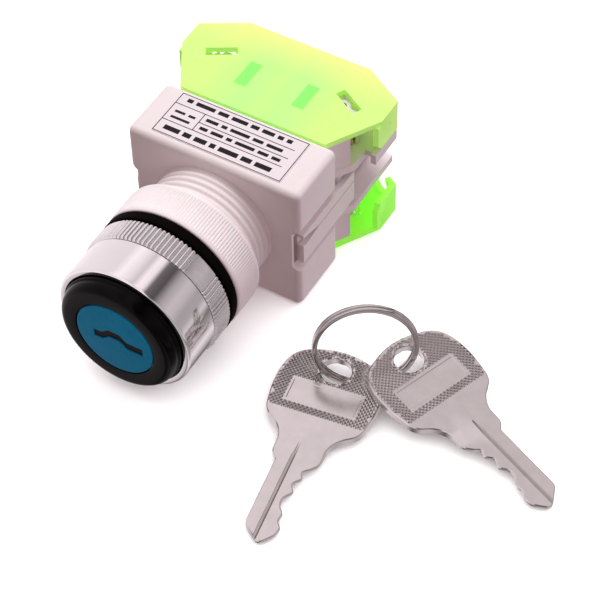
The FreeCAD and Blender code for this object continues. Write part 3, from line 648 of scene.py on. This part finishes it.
def key_relief(x, y, on_point):
    """The height of the key's face against its plain level: milled blade, sunk panel and knurl points."""
    if x < MILL_START and y < MILL_EDGE:
        reached = min(1.0, (MILL_START - x) / (MILL_START - MILL_FULL))
        if y < MILL_FLAT:
            return -SHALLOW * reached
        if y < MILL_BOTTOM:
            share = (y - MILL_FLAT) / (MILL_BOTTOM - MILL_FLAT)
            return -(SHALLOW + (DEEP - SHALLOW) * share) * reached
        return -DEEP * (MILL_EDGE - y) / (MILL_EDGE - MILL_BOTTOM) * reached
    inner = PANEL_HALF - PANEL_SLOPE / 2
    if PANEL_FAR + PANEL_SLOPE / 2 < x < PANEL_NEAR - PANEL_SLOPE / 2 and abs(y) < inner:
        return -PANEL_DEPTH
    return KNURL if on_point else 0.0


def in_knurl(x, y):
    """Whether a point of the head is knurled: clear of the neck, the panel and the hole."""
    gap = 0.4
    on_panel = PANEL_FAR - gap < x < PANEL_NEAR + gap and abs(y) < PANEL_HALF + gap
    return x > -11.0 and not on_panel and math.hypot(x, y) > HOLE + 0.45


def rectangle(far, near, half):
    return [Vector(p) for p in ((far, -half), (near, -half), (near, half), (far, half))]


def key_mesh(name, transform):
    """A stamped key: fine diamond knurl on the head, a plain sunk panel, a milled blade."""
    outer = key_outline()
    inner = shrunk(outer, EDGE_ROUND)
    angles = np.linspace(0, 2 * math.pi, 40, endpoint=False)
    hole = [Vector((math.cos(a), math.sin(a))) * HOLE for a in angles]
    hole_rim = [p * (1 + HOLE_ROUND / HOLE) for p in hole]
    panel = rectangle(PANEL_FAR, PANEL_NEAR, PANEL_HALF)
    panel_floor = rectangle(PANEL_FAR + PANEL_SLOPE, PANEL_NEAR - PANEL_SLOPE, PANEL_HALF - PANEL_SLOPE)
    spots = []
    edges = []

    def add_loop(loop, closed=True):
        first = len(spots)
        spots.extend(loop)
        count = len(loop)
        for i in range(count if closed else count - 1):
            edges.append((first + i, first + (i + 1) % count))

    for loop in (inner, hole_rim, panel, panel_floor):
        add_loop(loop)
    for y in (MILL_FLAT, MILL_BOTTOM, MILL_EDGE):
        stations = (MILL_START, MILL_FULL, -25.0, -30.0, -35.0, -38.3)
        add_loop([Vector((x, y)) for x in stations], closed=False)
    for x in (MILL_START, MILL_FULL):
        add_loop([Vector((x, y)) for y in (MILL_FLAT, -1.0, -2.5, -4.0)], closed=False)

    half_pitch = 0.3
    turn = math.sqrt(0.5)
    clear_of_edge = 0.35
    limits = np.array([[p.x, p.y] for p in inner])
    grid = {}
    reach = 60
    for i in range(-reach, reach):
        for j in range(-reach, reach):
            x = (i - j) * half_pitch * turn
            y = (i + j) * half_pitch * turn
            if not in_knurl(x, y) or not inside(x, y, limits):
                continue
            if np.min(np.hypot(limits[:, 0] - x, limits[:, 1] - y)) < clear_of_edge:
                continue
            grid[i, j] = len(spots)
            spots.append(Vector((x, y)))
    tips = [at for at in grid if at[0] % 2 and at[1] % 2]
    for i, j in tips:
        for corner in ((i + 1, j + 1), (i + 1, j - 1), (i - 1, j + 1), (i - 1, j - 1)):
            if corner in grid:
                edges.append((grid[i, j], grid[corner]))

    flat, _, triangles, origins, _, _ = geometry.delaunay_2d_cdt(spots, edges, [], 1, 1e-6)
    home = {}
    for index, sources in enumerate(origins):
        for source in sources:
            home[source] = index
    raised = {home[grid[at]] for at in tips}
    heights = [key_relief(p.x, p.y, k in raised) for k, p in enumerate(flat)]
    points = []
    for way in (1, -1):
        points += [(p.x, p.y, way * (KEY_HALF - KNURL + h)) for p, h in zip(flat, heights)]
    count = len(flat)
    faces = []
    for triangle in triangles:
        middle = sum((flat[i] for i in triangle), Vector((0, 0))) / 3
        if middle.length > HOLE:
            faces.append(tuple(triangle))
            faces.append(tuple(count + i for i in reversed(triangle)))

    def wall(rim, loop, first):
        """A narrow round from a face's rim to the loop's edge, and the straight side between both faces."""
        start = len(points)
        for way in (1, -1):
            for i, p in enumerate(loop):
                height = key_relief(rim[i].x, rim[i].y, False)
                points.append((p.x, p.y, way * (KEY_HALF - KNURL - EDGE_DROP + height)))
        size = len(loop)
        for i in range(size):
            j = (i + 1) % size
            top, next_top = home[first + i], home[first + j]
            faces.append((top, next_top, start + j, start + i))
            faces.append((count + top, count + next_top, start + size + j, start + size + i))
            faces.append((start + i, start + j, start + size + j, start + size + i))

    wall(inner, outer, 0)
    wall(hole_rim, hole, len(inner))
    return mesh_of(name, points, faces, transform)


def inside(x, y, outline):
    """Whether a point is inside a closed outline, by counting crossings."""
    x0, y0 = outline[:, 0], outline[:, 1]
    x1, y1 = np.roll(x0, -1), np.roll(y0, -1)
    crosses = (y0 > y) != (y1 > y)
    with np.errstate(divide="ignore", invalid="ignore"):
        at = x0 + (y - y0) * (x1 - x0) / (y1 - y0)
    return np.count_nonzero(crosses & (x < at)) % 2 == 1


def joint_named(name):
    return next(j for j in frame["joints"] if j["name"] == name)


def key_frame(node, joint, turned_over):
    """The placement of a key: its hole from its joint, and its blade from the tip of the CAD node."""
    pivot = Vector(joint_named(joint)["pos_m"])
    normal = Vector(joint_named(joint)["axis"]).normalized()
    if turned_over:
        normal = -normal
    corners = [v.co for v in frame["nodes"][node].data.vertices]
    flattened = [c - pivot - normal * (c - pivot).dot(normal) for c in corners]
    tip = max(flattened, key=lambda c: c.length)
    skew = math.atan2(TIP_Y, TIP_X)
    along = Matrix.Rotation(-skew, 3, normal) @ tip.normalized()
    side = normal.cross(along)
    rotation = Matrix((along, side, normal)).transposed().to_4x4()
    return Matrix.Translation(pivot) @ rotation


def make_keys():
    for node, body, over in (("key_1", "first_key", False), ("key_2", "second_key", True)):
        transform = key_frame(node, f"{node}_swing", over)
        name = f"{node}_stamped"
        finished(name, key_mesh(name, transform), body, "key_metal", (node,), sharp=14.0)


# ---------------------------------------------------------------- the split ring
def make_ring():
    """Nearly two turns of flat wire side by side, with one gentle crossing and both ends cut square."""
    corners = np.array([v.co for v in frame["nodes"]["key_ring"].data.vertices], float) / MM
    centre = corners.mean(axis=0)
    axes = np.linalg.svd(corners - centre, full_matrices=False)[2]
    across, along, axis = (Vector(a) for a in axes)
    radius = 9.3
    wire_half, coil_half, coil_place = 0.49, 0.39, 0.42
    edge = 0.25
    section = rounded([(-wire_half, -coil_half, edge), (wire_half, -coil_half, edge),
                       (wire_half, coil_half, edge), (-wire_half, coil_half, edge)], steps=3)
    size = len(section)
    steps = 480
    turns = 2 * 0.992
    crossing = 0.35
    start_angle = math.radians(200)
    points = []
    for k in range(steps + 1):
        turned = 2 * math.pi * turns * k / steps
        level = (eased((turned - 2 * math.pi) / crossing + 0.5) * 2 - 1) * coil_place
        angle = start_angle + turned
        outward = across * math.cos(angle) + along * math.sin(angle)
        for p in section:
            points.append(Vector(centre) + outward * (radius + p.x) + axis * (level + p.y))
    faces = [tuple(range(size)), tuple(range(steps * size, (steps + 1) * size))]
    for k in range(steps):
        for i in range(size):
            j = (i + 1) % size
            faces.append((k * size + i, k * size + j, (k + 1) * size + j, (k + 1) * size + i))
    finished("split_ring", mesh_of("split_ring", points, faces), "ring", "ring_metal", ("key_ring",))


# ---------------------------------------------------------------- the studio
def make_camera():
    """A long lens above and to the right of the head. Its directions are made square to each other."""
    data = bpy.data.cameras.new("camera")
    data.sensor_width = 36.0
    data.lens = 134.46
    data.clip_start = 0.01
    camera = bpy.data.objects.new("camera", data)
    back = Vector((0.3401, -0.5555, 0.7588)).normalized()
    right = Vector((0.8623, 0.5061, -0.0161))
    right = (right - back * right.dot(back)).normalized()
    up = back.cross(right)
    camera.matrix_world = Matrix.Translation(Vector((162.8, -220.7, 309.2)) * MM) @ Matrix(
        (right, up, back)).transposed().to_4x4()
    scene.collection.objects.link(camera)
    scene.camera = camera


def make_floor():
    """The white table. It is hidden from bounced and mirrored rays, whose light the world gives instead."""
    mesh = bpy.data.meshes.new("floor")
    half = 3.0
    gap = 0.05 * MM
    level = cad_box[0].z - gap
    corners = [(-half, -half, level), (half, -half, level), (half, half, level), (-half, half, level)]
    mesh.from_pydata(corners, [], [(0, 1, 2, 3)])
    material, _ = shader("floor", Roughness=0.8, Base_Color=(0.93, 0.93, 0.93, 1.0),
                                  Specular_IOR_Level=0.0)
    mesh.materials.append(material)
    floor = bpy.data.objects.new("floor", mesh)
    scene.collection.objects.link(floor)
    floor.visible_diffuse = False
    floor.visible_glossy = False
    return floor


def make_sun(name, direction, energy, spread, receivers, state):
    """A broad distant light that metal does not mirror. It lights only the receivers, or all but them."""
    data = bpy.data.lights.new(name, "SUN")
    data.energy = energy
    data.angle = math.radians(spread)
    sun = bpy.data.objects.new(name, data)
    sun.rotation_euler = Vector(direction).to_track_quat("-Z", "Y").to_euler()
    sun.visible_glossy = False
    scene.collection.objects.link(sun)
    group = bpy.data.collections.new(f"{name}_receivers")
    for receiver in receivers:
        group.objects.link(receiver)
    for member in group.collection_objects:
        member.light_linking.link_state = state
    sun.light_linking.receiver_collection = group


def world_ramp(tree, value, low, high, stops, level=1.0):
    """A colour ramp over a value from low to high. Each stop is (value, red, green, blue)."""
    spread = tree.nodes.new("ShaderNodeMapRange")
    spread.inputs["From Min"].default_value = low
    spread.inputs["From Max"].default_value = high
    tree.links.new(value, spread.inputs["Value"])
    ramp = tree.nodes.new("ShaderNodeValToRGB")
    tree.links.new(spread.outputs["Result"], ramp.inputs[0])
    for index, (at, *colour) in enumerate(stops):
        spot = (at - low) / (high - low)
        stop = ramp.color_ramp.elements[index] if index < 2 else ramp.color_ramp.elements.new(spot)
        stop.position = spot
        stop.color = (*(c / level for c in colour), 1.0)
    return ramp.outputs[0]


def multiplied(tree, first, second):
    """The product of two colours."""
    product = tree.nodes.new("ShaderNodeMix")
    product.data_type = "RGBA"
    product.blend_type = "MULTIPLY"
    product.inputs[0].default_value = 1.0
    tree.links.new(first, product.inputs[6])
    tree.links.new(second, product.inputs[7])
    return product.outputs[2]


def make_world():
    """A soft room over a white table, pinkish in its shade, and the bands that metal mirrors.

    The bands go by the direction's angle about the Y axis, in degrees from straight up towards +X.
    """
    level = 1.8
    world = bpy.data.worlds.new("studio")
    scene.world = world
    world.use_nodes = True
    tree = world.node_tree
    coordinates = tree.nodes.new("ShaderNodeTexCoord")
    split = tree.nodes.new("ShaderNodeSeparateXYZ")
    tree.links.new(coordinates.outputs["Generated"], split.inputs[0])
    across, along, upward = split.outputs
    angle = tree.nodes.new("ShaderNodeMath")
    angle.operation = "ARCTAN2"
    tree.links.new(across, angle.inputs[0])
    tree.links.new(upward, angle.inputs[1])
    bands = [(-180, 0.3), (-168, 0.15), (-140, 1.1), (-90, 0.97), (-42, 0.9), (-29, 1.15), (-16, 0.97),
             (-4, 0.7), (4, 1.1), (12, 1.0), (19, 0.16), (33, 0.09), (46, 0.44), (60, 0.62), (70, 0.58),
             (82, 0.43), (95, 0.45), (106, 0.72), (118, 0.2), (131, 0.38), (143, 0.52), (154, 0.9),
             (166, 0.65), (180, 0.3)]
    stops = [(math.radians(a), c, c * 0.9, c * 0.94) for a, c in bands]
    mirrored = world_ramp(tree, angle.outputs[0], -math.pi, math.pi, stops, level)
    from_side = world_ramp(tree, across, -1.0, 1.0, [
        (-1.0, 1.0, 0.94, 1.0), (0.0, 0.95, 0.9, 0.94), (0.3, 1.1, 1.06, 1.12),
        (1.0, 1.65, 1.57, 1.68)], level)
    from_front = world_ramp(tree, along, -1.0, 1.0, [
        (-1.0, 0.3, 0.2, 0.19), (-0.3, 0.48, 0.36, 0.35), (0.1, 0.88, 0.83, 0.85), (1.0, 1.0, 0.95, 0.98)])
    from_above = world_ramp(tree, upward, -1.0, 1.0, [
        (-1.0, 0.72, 0.68, 0.69), (-0.1, 0.72, 0.68, 0.69), (0.1, 0.55, 0.54, 0.55), (1.0, 0.66, 0.65, 0.66)])
    even = multiplied(tree, multiplied(tree, from_side, from_front), from_above)
    path = tree.nodes.new("ShaderNodeLightPath")
    choice = tree.nodes.new("ShaderNodeMix")
    choice.data_type = "RGBA"
    tree.links.new(path.outputs["Is Glossy Ray"], choice.inputs[0])
    tree.links.new(even, choice.inputs[6])
    tree.links.new(mirrored, choice.inputs[7])
    background = tree.nodes["Background"]
    tree.links.new(choice.outputs[2], background.inputs["Color"])
    background.inputs["Strength"].default_value = level


def dress_cad_nodes():
    """Gives every CAD node the finish of its material slot."""
    for part in frame["record"]["subparts"]:
        for slot in frame["nodes"][part["node"]].material_slots:
            slot.material = materials[part["material_slot"]]


dress_cad_nodes()
make_cap()
make_collar()
make_bezel()
make_gasket()
make_nut()
softened("housing", "housing_shell", 0.12, "white_plastic")
softened("carrier_frame", "carrier_moulding", 0.15, "white_plastic")
for level in ("upper", "lower"):
    softened(f"contact_base_{level}", f"contact_base_{level}_moulding", 0.15, "white_plastic")
    # The lower cover takes the shaded copy of the cover plastic, which is painted shade.
    softened(f"contact_cover_{level}", f"contact_cover_{level}_moulding", 0.25, "green_cover",
             "green_cover" if level == "upper" else "green_cover_shaded_copy")
    make_waved_clamps(f"clamp_plates_{level}")
make_label()
make_keys()
make_ring()
make_camera()
table = make_floor()
make_sun("sun", (0.25, -0.45, -1.2), 2.1, 40, [table], "EXCLUDE")
make_sun("table_light", (0.0, 0.0, -1.0), 4.6, 120, [table], "INCLUDE")
make_world()
